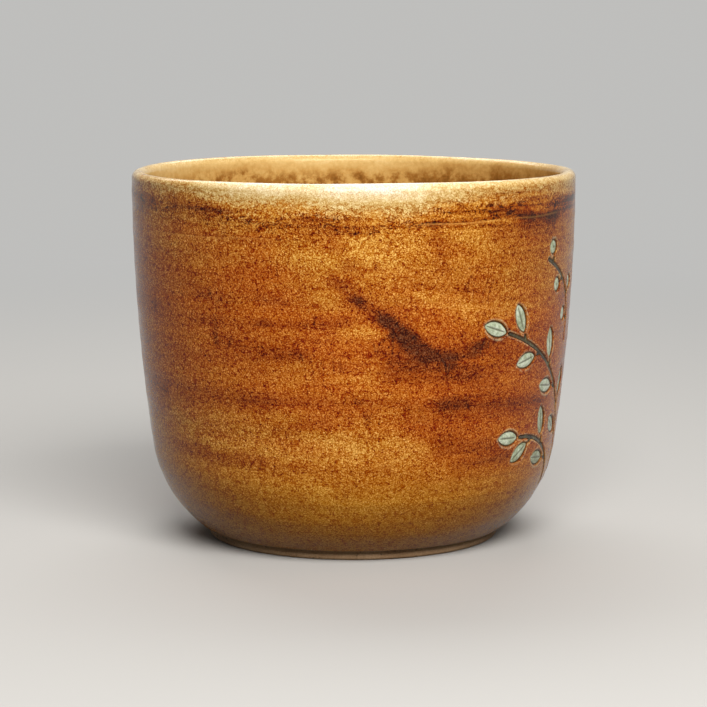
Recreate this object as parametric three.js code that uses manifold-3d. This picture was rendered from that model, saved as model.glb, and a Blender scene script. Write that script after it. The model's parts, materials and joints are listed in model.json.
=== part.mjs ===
// Handleless stoneware mug: a thrown clay body under three glaze coats, with a carved sprig whose lines
// and pockets are filled with slip and pooled glaze.
// Millimetres, +Z up, the origin at the centre of the foot on the surface it stands on, the front at -Y.
import * as THREE from "three";
import { mergeVertices } from "three/addons/utils/BufferGeometryUtils.js";
import Module from "manifold-3d";

const wasm = await Module();
wasm.setup();

// The pot
const height = 83;
const rimRadius = 50;
const lipThickness = 3.2; // across the rounded lip, coats included
const wallTaper = 4; // how far the belly stays inside the rim
const wallThickness = 4.6; // at the belly, coats included
const bellyArc = 28.6; // radius of the outside curve from the wall into the foot
const innerBellyArc = 18; // radius of the inside curve from the wall into the floor
const floorThickness = 3.6; // from the recess under the foot to the drink, coat included

// The foot
const footRadius = 32.9;
const footHeight = 2;
const footRingWidth = 5;
const footRecess = 2; // how far the middle of the base stands off the table
const footBevel = 0.6;

// The glaze
const glazeThickness = 0.6;
const rimBandOutside = 12.4; // how far the rim coat comes down the outside
const rimBandInside = 7; // how far the rim coat comes down the inside
const bareStrip = 1.6; // unglazed clay above the foot, along the belly

// The sprig
const sprigDirection = THREE.MathUtils.degToRad(70); // its middle, turned from the front towards +X
const sprigReach = 22; // round the wall from its middle to its farthest stem end
const sprigFoot = 13.5; // height of the lowest stem end
const sprigClearance = 5.5; // from the highest stem end up to the rim coat
const inlayThickness = 0.4;
const inlayGap = 0.3; // between an inlay and the glaze round it
const stemWidth = 0.6;
const leafLength = 6.8;
const leafWidth = 3.1;
const leafLean = THREE.MathUtils.degToRad(42); // between a leaf and its stem
const leafStandoff = 1.6; // from the middle of the stem to the base of a leaf
const leafTaper = 1.5; // 1 is an oval leaf, more draws its ends out to points
const berryRadius = 1.5;
const berryReach = 3.6; // from the middle of the stem to the middle of a berry
const berryLean = THREE.MathUtils.degToRad(60); // between a berry's stalk and its stem
const stalkGap = 0.9; // between the end of a stalk and its leaf or berry

// How finely curves are divided
const turnSegments = 48;
const lipSegments = 6;
const bandSegments = 2;
const wallSegments = 4;
const bellySegments = 5;
const stemSegments = 12;
const leafSegments = 14;
const berrySegments = 10;
const weldDistance = 1e-4;

const sin = Math.sin;
const cos = Math.cos;
const point = (radius, z) => new THREE.Vector2(radius, z);

// The lip is half a circle, and both walls leave it straight down.
const lipRadius = lipThickness / 2;
const lipCentre = point(rimRadius - lipRadius, height - lipRadius);

// A side of the pot is two arcs: a long one that leaves the lip straight down, and a belly arc that
// touches it. The long arc's radius follows from the belly circle it has to touch.
function potSide(lipEdge, bellyCentre, bellyRadius) {
  const across = lipEdge - bellyCentre.x;
  const down = lipCentre.y - bellyCentre.y;
  const wallRadius = (across ** 2 + down ** 2 - bellyRadius ** 2) / (2 * (across - bellyRadius));
  const wallCentre = point(lipEdge - wallRadius, lipCentre.y);
  const touchAngle = Math.atan2(down, bellyCentre.x - wallCentre.x);
  return { wallRadius, wallCentre, bellyRadius, bellyCentre, touchAngle };
}

// Points down an arc from one angle below the horizontal to another, at a depth under the surface.
function arcPoints(centre, radius, from, to, segments) {
  return Array.from({ length: segments + 1 }, (_, step) => {
    const angle = from + ((to - from) * step) / segments;
    return point(centre.x + radius * cos(angle), centre.y - radius * sin(angle));
  });
}

const wallAngle = (side, depth, z) => Math.asin((side.wallCentre.y - z) / (side.wallRadius - depth));

function wallPoints(side, depth, zFrom, zTo, segments) {
  const from = wallAngle(side, depth, zFrom);
  const to = wallAngle(side, depth, zTo);
  return arcPoints(side.wallCentre, side.wallRadius - depth, from, to, segments);
}

function wallToTouch(side, depth, zFrom) {
  const from = wallAngle(side, depth, zFrom);
  return arcPoints(side.wallCentre, side.wallRadius - depth, from, side.touchAngle, wallSegments);
}

function bellyPoints(side, depth, from, to, segments) {
  return arcPoints(side.bellyCentre, side.bellyRadius - depth, from, to, segments);
}

// From the inner edge of the lip over the top to its outer edge.
function lipPoints(depth) {
  return arcPoints(lipCentre, lipRadius - depth, -Math.PI, 0, lipSegments);
}

// Outside: the clay's belly curve ends on top of the foot ring, which sets how high its centre is.
const clayBelly = bellyArc - glazeThickness;
const bellyAcross = rimRadius - wallTaper - bellyArc;
const bellyDrop = Math.sqrt(clayBelly ** 2 - (footRadius - bellyAcross) ** 2);
const outside = potSide(rimRadius, point(bellyAcross, footHeight + bellyDrop), bellyArc);
const footAngle = Math.atan2(bellyDrop, footRadius - bellyAcross);
const glazeEnd = footAngle - bareStrip / bellyArc;
const bandBottom = height - rimBandOutside;

// Inside: the belly curve runs level into a flat floor.
const floorTop = footRecess + floorThickness;
const innerWidth = rimRadius - wallTaper - wallThickness;
const innerCentre = point(innerWidth - innerBellyArc, floorTop + innerBellyArc);
const inside = potSide(rimRadius - lipThickness, innerCentre, innerBellyArc);
const linerTop = height - rimBandInside;

// The inside of the pot is hollow, so going under its surface makes the arcs larger.
const underLiner = -glazeThickness;

const reversed = (points) => [...points].reverse();

// One closed turned body from an outline drawn in radius and height.
function turned(outline) {
  const clean = outline.filter((p, i) => i === 0 || p.distanceTo(outline[i - 1]) > weldDistance);
  const geometry = new THREE.LatheGeometry(clean, turnSegments);
  return geometry.rotateX(Math.PI / 2);
}

// A coat between two depths on the outside wall, from under the rim coat to the bare strip.
function outsideCoat(depthOut, depthIn) {
  const face = (depth) => [
    ...wallToTouch(outside, depth, bandBottom),
    ...bellyPoints(outside, depth, outside.touchAngle, glazeEnd, bellySegments),
  ];
  const outer = face(depthOut);
  return turned([...reversed(outer), ...face(depthIn), outer[outer.length - 1]]);
}

function insideFace(depth) {
  return [
    ...wallToTouch(inside, depth, linerTop),
    ...bellyPoints(inside, depth, inside.touchAngle, Math.PI / 2, bellySegments),
  ];
}

function clayGeometry() {
  const lip = lipPoints(glazeThickness);
  const outer = [
    ...wallPoints(outside, glazeThickness, lipCentre.y, bandBottom, bandSegments),
    ...wallToTouch(outside, glazeThickness, bandBottom),
    ...bellyPoints(outside, glazeThickness, outside.touchAngle, glazeEnd, bellySegments),
    ...bellyPoints(outside, glazeThickness, glazeEnd, footAngle, 1),
  ];
  const foot = [
    point(footRadius, footBevel),
    point(footRadius - footBevel, 0),
    point(footRadius - footRingWidth + footBevel, 0),
    point(footRadius - footRingWidth, footBevel),
    point(footRadius - footRingWidth, footRecess),
    point(0, footRecess),
  ];
  const inner = [
    ...wallPoints(inside, underLiner, lipCentre.y, linerTop, bandSegments),
    ...insideFace(underLiner),
    point(0, floorTop - glazeThickness),
  ];
  return turned([...reversed(foot), ...reversed(outer), ...reversed(lip), ...inner]);
}

function rimGeometry() {
  const face = (depthOut, depthIn, depthLip) => [
    ...reversed(wallPoints(outside, depthOut, lipCentre.y, bandBottom, bandSegments)),
    ...reversed(lipPoints(depthLip)),
    ...wallPoints(inside, depthIn, lipCentre.y, linerTop, bandSegments),
  ];
  const outer = face(0, 0, 0);
  const inner = face(glazeThickness, underLiner, glazeThickness);
  return turned([...outer, ...reversed(inner), outer[0]]);
}

function linerGeometry() {
  const top = [...insideFace(0), point(0, floorTop)];
  const seat = [...insideFace(underLiner), point(0, floorTop - glazeThickness)];
  return turned([...reversed(seat), ...top]);
}

function toSolid(geometry) {
  const bare = geometry.clone();
  bare.deleteAttribute("normal");
  bare.deleteAttribute("uv");
  const merged = mergeVertices(bare, weldDistance);
  const vertProperties = new Float32Array(merged.attributes.position.array);
  const triVerts = new Uint32Array(merged.index.array);
  return new wasm.Manifold(new wasm.Mesh({ numProp: 3, vertProperties, triVerts }));
}

function toGeometry(solid) {
  const mesh = solid.getMesh();
  const geometry = new THREE.BufferGeometry();
  geometry.setAttribute("position", new THREE.BufferAttribute(mesh.vertProperties, 3));
  geometry.setIndex(new THREE.BufferAttribute(mesh.triVerts, 1));
  return geometry;
}

// Cuts a flat outline, drawn round the wall and up it, straight in towards the mug's axis.
function wrapped(outline) {
  const shape = new THREE.Shape(outline);
  const reach = rimRadius + wallThickness - footRadius;
  const geometry = new THREE.ExtrudeGeometry(shape, { depth: reach, bevelEnabled: false });
  const place = geometry.attributes.position;
  for (let i = 0; i < place.count; i += 1) {
    const turn = sprigDirection + place.getX(i) / rimRadius;
    const radius = footRadius + place.getZ(i);
    place.setXYZ(i, radius * sin(turn), -radius * cos(turn), place.getY(i));
  }
  return toSolid(geometry);
}

// A line of even width along a curve, with blunt rounded ends.
function ribbon(curve, segments, width) {
  const left = [];
  const right = [];
  for (let step = 0; step <= segments; step += 1) {
    const middle = curve.getPoint(step / segments);
    const along = curve.getTangent(step / segments);
    const across = new THREE.Vector2(-along.y, along.x).multiplyScalar(width / 2);
    left.push(middle.clone().add(across));
    right.push(middle.clone().sub(across));
  }
  const cap = (end, share) => curve.getPoint(end).addScaledVector(curve.getTangent(end), share * width);
  return [...left, cap(1, 0.5), ...reversed(right), cap(0, -0.5)];
}

// A leaf: an oval drawn out to points at its base and tip.
function leafOutline(leaf, margin) {
  const half = leafLength / 2 + margin;
  const bulge = leafWidth / 2 + margin;
  const middle = leaf.base.clone().addScaledVector(leaf.along, leafLength / 2);
  const across = new THREE.Vector2(-leaf.along.y, leaf.along.x);
  return Array.from({ length: leafSegments }, (_, step) => {
    const turn = (2 * Math.PI * step) / leafSegments;
    const reach = Math.abs(sin(turn)) ** leafTaper * Math.sign(sin(turn));
    return middle
      .clone()
      .addScaledVector(leaf.along, half * cos(turn))
      .addScaledVector(across, bulge * reach);
  });
}

function berryOutline(centre, margin) {
  return Array.from({ length: berrySegments }, (_, step) => {
    const turn = (2 * Math.PI * step) / berrySegments;
    return new THREE.Vector2(cos(turn), sin(turn)).multiplyScalar(berryRadius + margin).add(centre);
  });
}

// The stems, as curves drawn in shares of the sprig's reach round the wall from its middle, and in
// shares of its height up it. Leaves or berries stand along each one, left and right by turns.
const sprigRise = bandBottom - sprigClearance - sprigFoot;
const onWall = (round, up) => new THREE.Vector2(round * sprigReach, sprigFoot + up * sprigRise);
const stems = [
  {
    name: "long",
    curve: new THREE.CubicBezierCurve(
      onWall(0.36, 0.01),
      onWall(0.32, 0.37),
      onWall(-0.27, 0.6),
      onWall(-1, 0.7),
    ),
    leaves: [0.2, 0.34, 0.48, 0.62, 0.76, 0.9],
    berries: [],
    tipLeaf: true,
  },
  {
    name: "upright",
    curve: new THREE.CubicBezierCurve(
      onWall(0.77, 0.1),
      onWall(1, 0.43),
      onWall(0.64, 0.7),
      onWall(0.95, 0.98),
    ),
    leaves: [0.16, 0.34, 0.52, 0.7, 0.88],
    berries: [],
    tipLeaf: false,
  },
  {
    name: "berried",
    curve: new THREE.CubicBezierCurve(
      onWall(0.18, 0.63),
      onWall(0.23, 0.79),
      onWall(0.05, 0.92),
      onWall(-0.45, 1),
    ),
    leaves: [],
    berries: [0.2, 0.44, 0.68, 0.92],
    tipLeaf: false,
  },
  {
    name: "low",
    curve: new THREE.CubicBezierCurve(
      onWall(0.14, 0),
      onWall(0, 0.15),
      onWall(-0.27, 0.24),
      onWall(-0.68, 0.25),
    ),
    leaves: [0.32, 0.58, 0.84],
    berries: [],
    tipLeaf: true,
  },
];

function turnedBy(direction, angle) {
  return direction.clone().rotateAround(new THREE.Vector2(), angle);
}

// Every inlay as a name, its outline and the outline of the window it lies in.
const pools = [];
const lines = [];
let leafCount = 0;
let berryCount = 0;
for (const stem of stems) {
  const strokes = [{ curve: stem.curve, segments: stemSegments }];
  const side = (index) => (index % 2 === 0 ? 1 : -1);
  const sprout = (place, turn) => {
    const along = turnedBy(stem.curve.getTangent(place), turn);
    return { root: stem.curve.getPoint(place), along };
  };
  const addStalk = (root, end, along) => {
    const stalkEnd = end.clone().addScaledVector(along, -stalkGap);
    strokes.push({ curve: new THREE.LineCurve(root, stalkEnd), segments: 1 });
  };
  const leaves = stem.leaves.map((place, index) => sprout(place, side(index) * leafLean));
  if (stem.tipLeaf) {
    leaves.push(sprout(1, 0));
  }
  for (const { root, along } of leaves) {
    leafCount += 1;
    const leaf = { base: root.clone().addScaledVector(along, leafStandoff / sin(leafLean)), along };
    addStalk(root, leaf.base, along);
    pools.push({
      name: `leaf_pool_${String(leafCount).padStart(2, "0")}`,
      inlay: leafOutline(leaf, 0),
      window: leafOutline(leaf, inlayGap),
    });
  }
  stem.berries.forEach((place, index) => {
    const { root, along } = sprout(place, side(index) * berryLean);
    const centre = root.clone().addScaledVector(along, berryReach);
    berryCount += 1;
    addStalk(root, centre.clone().addScaledVector(along, -berryRadius), along);
    pools.push({
      name: `berry_pool_${String(berryCount).padStart(2, "0")}`,
      inlay: berryOutline(centre, 0),
      window: berryOutline(centre, inlayGap),
    });
  });
  lines.push({ name: `stem_inlay_${stem.name}`, strokes });
}

const unionOf = (solids) => solids.reduce((all, next) => all.add(next));

function lineSolid(strokes, width) {
  return unionOf(strokes.map(({ curve, segments }) => wrapped(ribbon(curve, segments, width))));
}

const inlayShell = toSolid(outsideCoat(glazeThickness - inlayThickness, glazeThickness));
const windows = unionOf([
  ...lines.map(({ strokes }) => lineSolid(strokes, stemWidth + 2 * inlayGap)),
  ...pools.map(({ window }) => wrapped(window)),
]);

const group = new THREE.Group();
group.name = "handleless_mug";

function addPiece(name, geometry, colour, roughness) {
  const material = new THREE.MeshStandardMaterial({ color: colour, roughness, metalness: 0 });
  const mesh = new THREE.Mesh(geometry, material);
  mesh.name = name;
  group.add(mesh);
}

addPiece("clay_body", clayGeometry(), 0xb08a5c, 0.85);
const carvedCoat = toSolid(outsideCoat(0, glazeThickness)).subtract(windows);
addPiece("outer_glaze", toGeometry(carvedCoat), 0xa4591a, 0.15);
addPiece("rim_glaze", rimGeometry(), 0xdcb478, 0.15);
addPiece("liner_glaze", linerGeometry(), 0xc08a48, 0.15);
for (const { name, strokes } of lines) {
  addPiece(name, toGeometry(inlayShell.intersect(lineSolid(strokes, stemWidth))), 0x46371a, 0.35);
}
for (const { name, inlay } of pools) {
  addPiece(name, toGeometry(inlayShell.intersect(wrapped(inlay))), 0xb9cdb0, 0.12);
}

export default group;
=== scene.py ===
import json
import math

import bpy
import numpy as np
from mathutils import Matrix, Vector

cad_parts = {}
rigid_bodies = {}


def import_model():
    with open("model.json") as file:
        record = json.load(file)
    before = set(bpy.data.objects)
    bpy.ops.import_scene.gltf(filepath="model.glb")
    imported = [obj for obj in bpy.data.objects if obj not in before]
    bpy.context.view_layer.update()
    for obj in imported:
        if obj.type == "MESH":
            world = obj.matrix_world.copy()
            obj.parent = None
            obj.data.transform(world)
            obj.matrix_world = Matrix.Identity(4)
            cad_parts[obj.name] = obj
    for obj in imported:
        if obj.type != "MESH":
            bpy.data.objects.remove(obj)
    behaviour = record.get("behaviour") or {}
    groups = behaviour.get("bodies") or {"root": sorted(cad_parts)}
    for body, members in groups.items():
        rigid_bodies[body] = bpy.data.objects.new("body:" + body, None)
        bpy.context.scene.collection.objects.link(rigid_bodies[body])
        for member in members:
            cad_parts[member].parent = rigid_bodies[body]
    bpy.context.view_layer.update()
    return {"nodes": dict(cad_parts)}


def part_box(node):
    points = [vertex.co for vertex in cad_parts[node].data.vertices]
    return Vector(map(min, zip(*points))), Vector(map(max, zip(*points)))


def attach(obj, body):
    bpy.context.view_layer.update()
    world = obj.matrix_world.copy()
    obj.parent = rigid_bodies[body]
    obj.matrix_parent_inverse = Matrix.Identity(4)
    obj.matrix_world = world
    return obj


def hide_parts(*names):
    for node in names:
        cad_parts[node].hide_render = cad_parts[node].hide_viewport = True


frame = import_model()
print("frame loaded,", len(frame["nodes"]), "nodes")

mm = 0.001

# sizes of the pot, the same as the solids'
pot = {
    "rimRadius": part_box("rim_glaze")[1][0],
    "height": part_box("rim_glaze")[1][2],
    "bandBottom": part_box("outer_glaze")[1][2],
    "linerTop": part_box("liner_glaze")[1][2],
    "floorTop": 5.6 * mm,
    "lipThickness": 3.2 * mm,
    "wallTaper": 4.0 * mm,
    "wallThickness": 4.6 * mm,
    "bellyArc": 28.6 * mm,
    "innerBellyArc": 18.0 * mm,
    "glaze": 0.6 * mm,
    "footRadius": 32.9 * mm,
    "footHeight": 2.0 * mm,
    "footRingWidth": 5.0 * mm,
    "footRecess": 2.0 * mm,
    "bareStrip": 1.6 * mm,
}
lipRadius = pot["lipThickness"] / 2
lipZ = pot["height"] - lipRadius
lipMiddle = pot["rimRadius"] - lipRadius


def smooth(low, high, x):
    # an S-shaped step from 0 at low to 1 at high
    t = np.clip((x - low) / (high - low), 0, 1)
    return t * t * (3 - 2 * t)


def bell(x, width):
    # a bell curve: 1 in the middle, falling off with the square of the distance in widths
    return np.exp(-((x / width) ** 2))


def lobes(turn, waves):
    # a sum of sine waves round the pot, from the count, share and phase of each
    return sum(share * np.sin(count * turn + phase) for count, share, phase in waves)


def arcRows(centreR, centreZ, arc, turn):
    # points of an arc at angles below the horizontal: the centre plus the arc times the normal there
    normal = np.stack([np.cos(turn), -np.sin(turn)], 1)
    return np.array([centreR, centreZ]) + arc * normal, normal


def potSide(lipEdge, centre, bellyArc):
    # a long arc that leaves the lip straight down and touches the belly's circle
    across = lipEdge - centre[0]
    down = lipZ - centre[1]
    wallArc = (across**2 + down**2 - bellyArc**2) / (2 * (across - bellyArc))
    touch = math.atan2(down, centre[0] - lipEdge + wallArc)
    return {"wallArc": wallArc, "wallR": lipEdge - wallArc, "touch": touch, "bellyArc": bellyArc,
            "bellyR": centre[0], "bellyZ": centre[1], "touchZ": lipZ - wallArc * math.sin(touch)}


def wallRows(side, heights):
    # points of the long arc at given heights
    return arcRows(side["wallR"], lipZ, side["wallArc"], np.arcsin((lipZ - heights) / side["wallArc"]))


def bellyRows(side, turn):
    # points of the belly's circle at given angles below the horizontal
    return arcRows(side["bellyR"], side["bellyZ"], side["bellyArc"], turn)


bellyAcross = pot["rimRadius"] - pot["wallTaper"] - pot["bellyArc"]
clayBelly = pot["bellyArc"] - pot["glaze"]
bellyDrop = math.sqrt(clayBelly**2 - (pot["footRadius"] - bellyAcross) ** 2)
outside = potSide(pot["rimRadius"], (bellyAcross, pot["footHeight"] + bellyDrop), pot["bellyArc"])
footTurn = math.atan2(bellyDrop, pot["footRadius"] - bellyAcross)
glazeTurn = footTurn - pot["bareStrip"] / pot["bellyArc"]
innerWidth = pot["rimRadius"] - pot["wallTaper"] - pot["wallThickness"]
innerCentre = (innerWidth - pot["innerBellyArc"], pot["floorTop"] + pot["innerBellyArc"])
inside = potSide(pot["rimRadius"] - pot["lipThickness"], innerCentre, pot["innerBellyArc"])


def outsideAt(z):
    # radius and normal of the outside wall at any height
    wallTurn = np.arcsin(np.clip((lipZ - z) / outside["wallArc"], -1, 1))
    bellyTurn = np.arcsin(np.clip((outside["bellyZ"] - z) / outside["bellyArc"], -1, 1))
    high = z >= outside["touchZ"]
    turn = np.where(high, wallTurn, bellyTurn)
    centre = np.where(high, outside["wallR"], outside["bellyR"])
    arc = np.where(high, outside["wallArc"], outside["bellyArc"])
    return centre + arc * np.cos(turn), np.cos(turn), -np.sin(turn)


# the sprig, drawn flat: round the wall from its middle, and up the wall
sprig = {
    "direction": math.radians(70),
    "reach": 22 * mm,
    "foot": 13.5 * mm,
    "clearance": 5.5 * mm,
    "stemWidth": 0.6 * mm,
    "stemSteps": 41,
    "leafLength": 6.8 * mm,
    "leafWidth": 3.1 * mm,
    "leafLean": math.radians(42),
    "leafStandoff": 1.6 * mm,
    "leafTaper": 1.5,
    "leafSlope": 0.9,  # how fast the distance to a leaf's edge grows beside the leaf
    "berryRadius": 1.5 * mm,
    "berryReach": 3.6 * mm,
    "berryLean": math.radians(60),
    "stalkGap": 0.9 * mm,
    "stalkSteps": 6,
    # for each stem: the corners of its curve, the places of leaves, of berries, and a leaf at its tip
    "stems": {
        "long": ([(0.36, 0.01), (0.32, 0.37), (-0.27, 0.6), (-1, 0.7)],
                 [0.2, 0.34, 0.48, 0.62, 0.76, 0.9], [], True),
        "upright": ([(0.77, 0.1), (1, 0.43), (0.64, 0.7), (0.95, 0.98)],
                    [0.16, 0.34, 0.52, 0.7, 0.88], [], False),
        "berried": ([(0.18, 0.63), (0.23, 0.79), (0.05, 0.92), (-0.45, 1)],
                    [], [0.2, 0.44, 0.68, 0.92], False),
        "low": ([(0.14, 0), (0, 0.15), (-0.27, 0.24), (-0.68, 0.25)],
                [0.32, 0.58, 0.84], [], True),
    },
}
sprigRise = pot["bandBottom"] - sprig["clearance"] - sprig["foot"]


def bezier(corners, place):
    # a cubic curve drawn by four corners, and its direction
    p = np.array(corners) * [sprig["reach"], sprigRise] + [0, sprig["foot"]]
    t = np.asarray(place, float)[..., None]
    at = (1 - t) ** 3 * p[0] + 3 * (1 - t) ** 2 * t * p[1] + 3 * (1 - t) * t**2 * p[2] + t**3 * p[3]
    going = (1 - t) ** 2 * (p[1] - p[0]) + 2 * (1 - t) * t * (p[2] - p[1]) + t**2 * (p[3] - p[2])
    return at, going / np.linalg.norm(going, axis=-1, keepdims=True)


def turnedBy(v, angle):
    # a flat direction turned to the left by an angle
    c, s = math.cos(angle), math.sin(angle)
    return np.array([v[0] * c - v[1] * s, v[0] * s + v[1] * c])


def sprouts(corners, shares, lean):
    # roots and directions of what grows from a stem, leaning left and right by turns
    at, going = bezier(corners, shares)
    return [(at[i], turnedBy(going[i], lean if i % 2 == 0 else -lean)) for i in range(len(shares))]


stemPaths = {}
leafPlaces = []
berryPlaces = []
for stemName, (corners, leafShares, berryShares, tipLeaf) in sprig["stems"].items():
    paths = [bezier(corners, np.linspace(0, 1, sprig["stemSteps"]))[0]]
    leaves = sprouts(corners, leafShares, sprig["leafLean"]) if leafShares else []
    leaves += sprouts(corners, [1.0], 0.0) if tipLeaf else []
    for number, (at, along) in enumerate(leaves):
        base = at + along * sprig["leafStandoff"] / math.sin(sprig["leafLean"])
        stalk = np.linspace(at, base - along * sprig["stalkGap"], sprig["stalkSteps"])
        if number == len(leafShares):  # the stalk at the tip carries the stem on
            paths[0] = np.concatenate([paths[0], stalk[1:]])
        else:
            paths.append(stalk)
        leafPlaces.append((base + along * sprig["leafLength"] / 2, along))
    for at, along in sprouts(corners, berryShares, sprig["berryLean"]) if berryShares else []:
        centre = at + along * sprig["berryReach"]
        end = centre - along * (sprig["berryRadius"] + sprig["stalkGap"])
        paths.append(np.linspace(at, end, sprig["stalkSteps"]))
        berryPlaces.append(centre)
    stemPaths[stemName] = paths


def ontoWall(flat, depth):
    # carries flat sprig places onto the wall, at a depth under its surface
    turn = sprig["direction"] + flat[..., 0] / pot["rimRadius"]
    radius, outR, outZ = outsideAt(flat[..., 1])
    radius = radius - depth * outR
    return np.stack([radius * np.sin(turn), -radius * np.cos(turn), flat[..., 1] - depth * outZ], -1)


def pathDistance(u, v, path):
    # shortest distance to a line of short straight steps
    best = np.full(u.shape, 1.0)
    for a, b in zip(path[:-1], path[1:]):
        step = b - a
        share = np.clip(((u - a[0]) * step[0] + (v - a[1]) * step[1]) / (step @ step), 0, 1)
        best = np.minimum(best, np.hypot(u - a[0] - share * step[0], v - a[1] - share * step[1]))
    return best


def leafDistance(u, v, middle, along):
    # distance to a leaf's edge, below zero inside it: an oval whose ends are drawn out to points
    a = (u - middle[0]) * along[0] + (v - middle[1]) * along[1]
    b = np.abs((v - middle[1]) * along[0] - (u - middle[0]) * along[1])
    half = sprig["leafLength"] / 2
    edge = sprig["leafWidth"] / 2 * np.clip(1 - (a / half) ** 2, 0, 1) ** (sprig["leafTaper"] / 2)
    return np.where(np.abs(a) < half, (b - edge) * sprig["leafSlope"], np.hypot(np.abs(a) - half, b))


# the cut of the carving tool; its slope runs from 0 at the foot to 1 at the top, and the raised edge follows
carved = {"depth": 0.4 * mm, "stemSlope": 0.26 * mm, "poolSlope": 0.38 * mm, "darkLine": (0.3, 0.9),
          "burr": 0.06 * mm, "burrPlace": 1.4, "burrWidth": 0.45}


def carving(u, v):
    # height left by the carving tool, and how much of its dark line or raised edge lies at each place
    stemGap = np.full(u.shape, 1.0)
    poolGap = np.full(u.shape, 1.0)
    for paths in stemPaths.values():
        for path in paths:
            stemGap = np.minimum(stemGap, pathDistance(u, v, path) - sprig["stemWidth"] / 2)
    for middle, along in leafPlaces:
        poolGap = np.minimum(poolGap, leafDistance(u, v, middle, along))
    for middle in berryPlaces:
        poolGap = np.minimum(poolGap, np.hypot(u - middle[0], v - middle[1]) - sprig["berryRadius"])
    place = np.minimum(stemGap / carved["stemSlope"], poolGap / carved["poolSlope"])
    burr = bell(place - carved["burrPlace"], carved["burrWidth"])
    height = carved["burr"] * burr - carved["depth"] * (1 - smooth(0, 1, place))
    return height, 1 - smooth(*carved["darkLine"], place), burr


def putMesh(name, points, faces, sharpRows=(), rowLength=1):
    # a smooth mesh from one or more arrays of faces; the edges along the given rows of its grid stay sharp
    mesh = bpy.data.meshes.new(name)
    mesh.from_pydata(points.reshape(-1, 3).tolist(), [], [face for kind in faces for face in kind.tolist()])
    mesh.polygons.foreach_set("use_smooth", np.ones(len(mesh.polygons), bool))
    if len(sharpRows):
        ends = np.zeros(len(mesh.edges) * 2, int)
        mesh.edges.foreach_get("vertices", ends)
        rows = ends.reshape(-1, 2) // rowLength
        mesh.edges.foreach_set("use_edge_sharp", (rows[:, 0] == rows[:, 1]) & np.isin(rows[:, 0], sharpRows))
    mesh.update()
    piece = bpy.data.objects.new(name, mesh)
    bpy.context.scene.collection.objects.link(piece)
    return piece


def ringFaces(rowCount, columnCount, closed):
    # quads between rows round the axis; a closed outline also joins its last row to its first
    r = np.arange(rowCount if closed else rowCount - 1)[:, None]
    c = np.arange(columnCount)[None]
    below, right = (r + 1) % rowCount, (c + 1) % columnCount
    quads = np.stack([r * columnCount + c, below * columnCount + c,
                      below * columnCount + right, r * columnCount + right], -1)
    return quads.reshape(-1, 4)


def fanFaces(rowStart, columnCount, pole, poleFirst):
    # triangles from one row to a point on the axis
    c = rowStart + np.arange(columnCount)
    follow = np.roll(c, -1)
    tip = np.full(columnCount, pole)
    return np.stack([tip, c, follow] if poleFirst else [c, tip, follow], 1)


def turnedPoints(rows, turns):
    # the outline turned round the axis: its radius times the sine and cosine of each angle, and its height
    radius, z = rows[..., 0], rows[..., 1]
    return np.stack([radius * np.sin(turns), -radius * np.cos(turns), z + 0 * turns], -1)


def raised(rows, normals, height):
    # moves each point of an outline along its normal, by an amount for each column
    return rows[:, None, :] + height[..., None] * normals[:, None, :]


def sunk(rows, normals, count, turns):
    # the hidden underside of a coat, from its end back to its start, with fewer rows
    pick = np.linspace(len(rows) - 1, 0, count).round().astype(int)
    return (rows - pot["glaze"] * normals)[pick][:, None, :] + 0 * turns[..., None]


def giveValues(piece, **layers):
    # for each layer one number a vertex, with zeros for those left over at the end
    for name, values in layers.items():
        layer = piece.data.attributes.new(name, "FLOAT", "POINT")
        filled = np.zeros(len(piece.data.vertices), np.float32)
        filled[:values.size] = values.ravel()
        layer.data.foreach_set("value", filled)


# columns round the pot: fairly close at the front, very close at the sprig, wide apart elsewhere
columns = {"frontFrom": -48, "frontStep": 1.4, "sprigFrom": 33, "sprigStep": 0.286, "sprigTo": 105,
           "plainStep": 3.2, "evenStep": 1.25}
frontTurns = np.arange(columns["frontFrom"], columns["sprigFrom"], columns["frontStep"])
sprigTurns = np.arange(columns["sprigFrom"], columns["sprigTo"], columns["sprigStep"])
plainTurns = np.arange(columns["sprigTo"], columns["frontFrom"] + 360, columns["plainStep"])
turns = np.radians(np.concatenate([frontTurns, sprigTurns, plainTurns]))[None]
evenTurns = np.radians(np.arange(0, 360, columns["evenStep"]))[None]

# marks of the throwing hand: waves that wind slowly up the wall, a slow sway, and scratched ring lines
throwing = {
    # length, height and phase
    "waves": [(7.4 * mm, 0.022 * mm, 0.3), (4.1 * mm, 0.012 * mm, 1.7), (2.3 * mm, 0.006 * mm, 4.1)],
    "climb": 1.6 * mm,
    "twist": 0.7,
    "sway": 0.09 * mm,
    "swayRise": (20 * mm, 70 * mm),
    "swayLobes": [(2, 1.0, 0.6), (3, 0.5, 2.0)],
    "hairDepth": 0.008 * mm,
    "hairWidth": 0.15 * mm,
    # how far above each scratched line its painted shadow lies
    "hairShadowRise": 0.4 * mm,
    "hairWander": 0.1 * mm,
    "hairBends": 9,
    "hairFade": (0.2, 0.75),
    # angles and heights of both ends, and strength
    "hairLines": [(-64, -14, 70.9 * mm, 71.5 * mm, 0.45), (13, 42, 74.5 * mm, 74.8 * mm, 0.75),
                  (38, 66, 74.8 * mm, 75.1 * mm, 0.35), (-44, -20, 74.3 * mm, 74.6 * mm, 0.3),
                  (150, 262, 70.0 * mm, 73.5 * mm, 0.5)],
}


def frontAngle(turn):
    # degrees from the front, from -180 to 180
    return (np.degrees(turn) + 180) % 360 - 180


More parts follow.
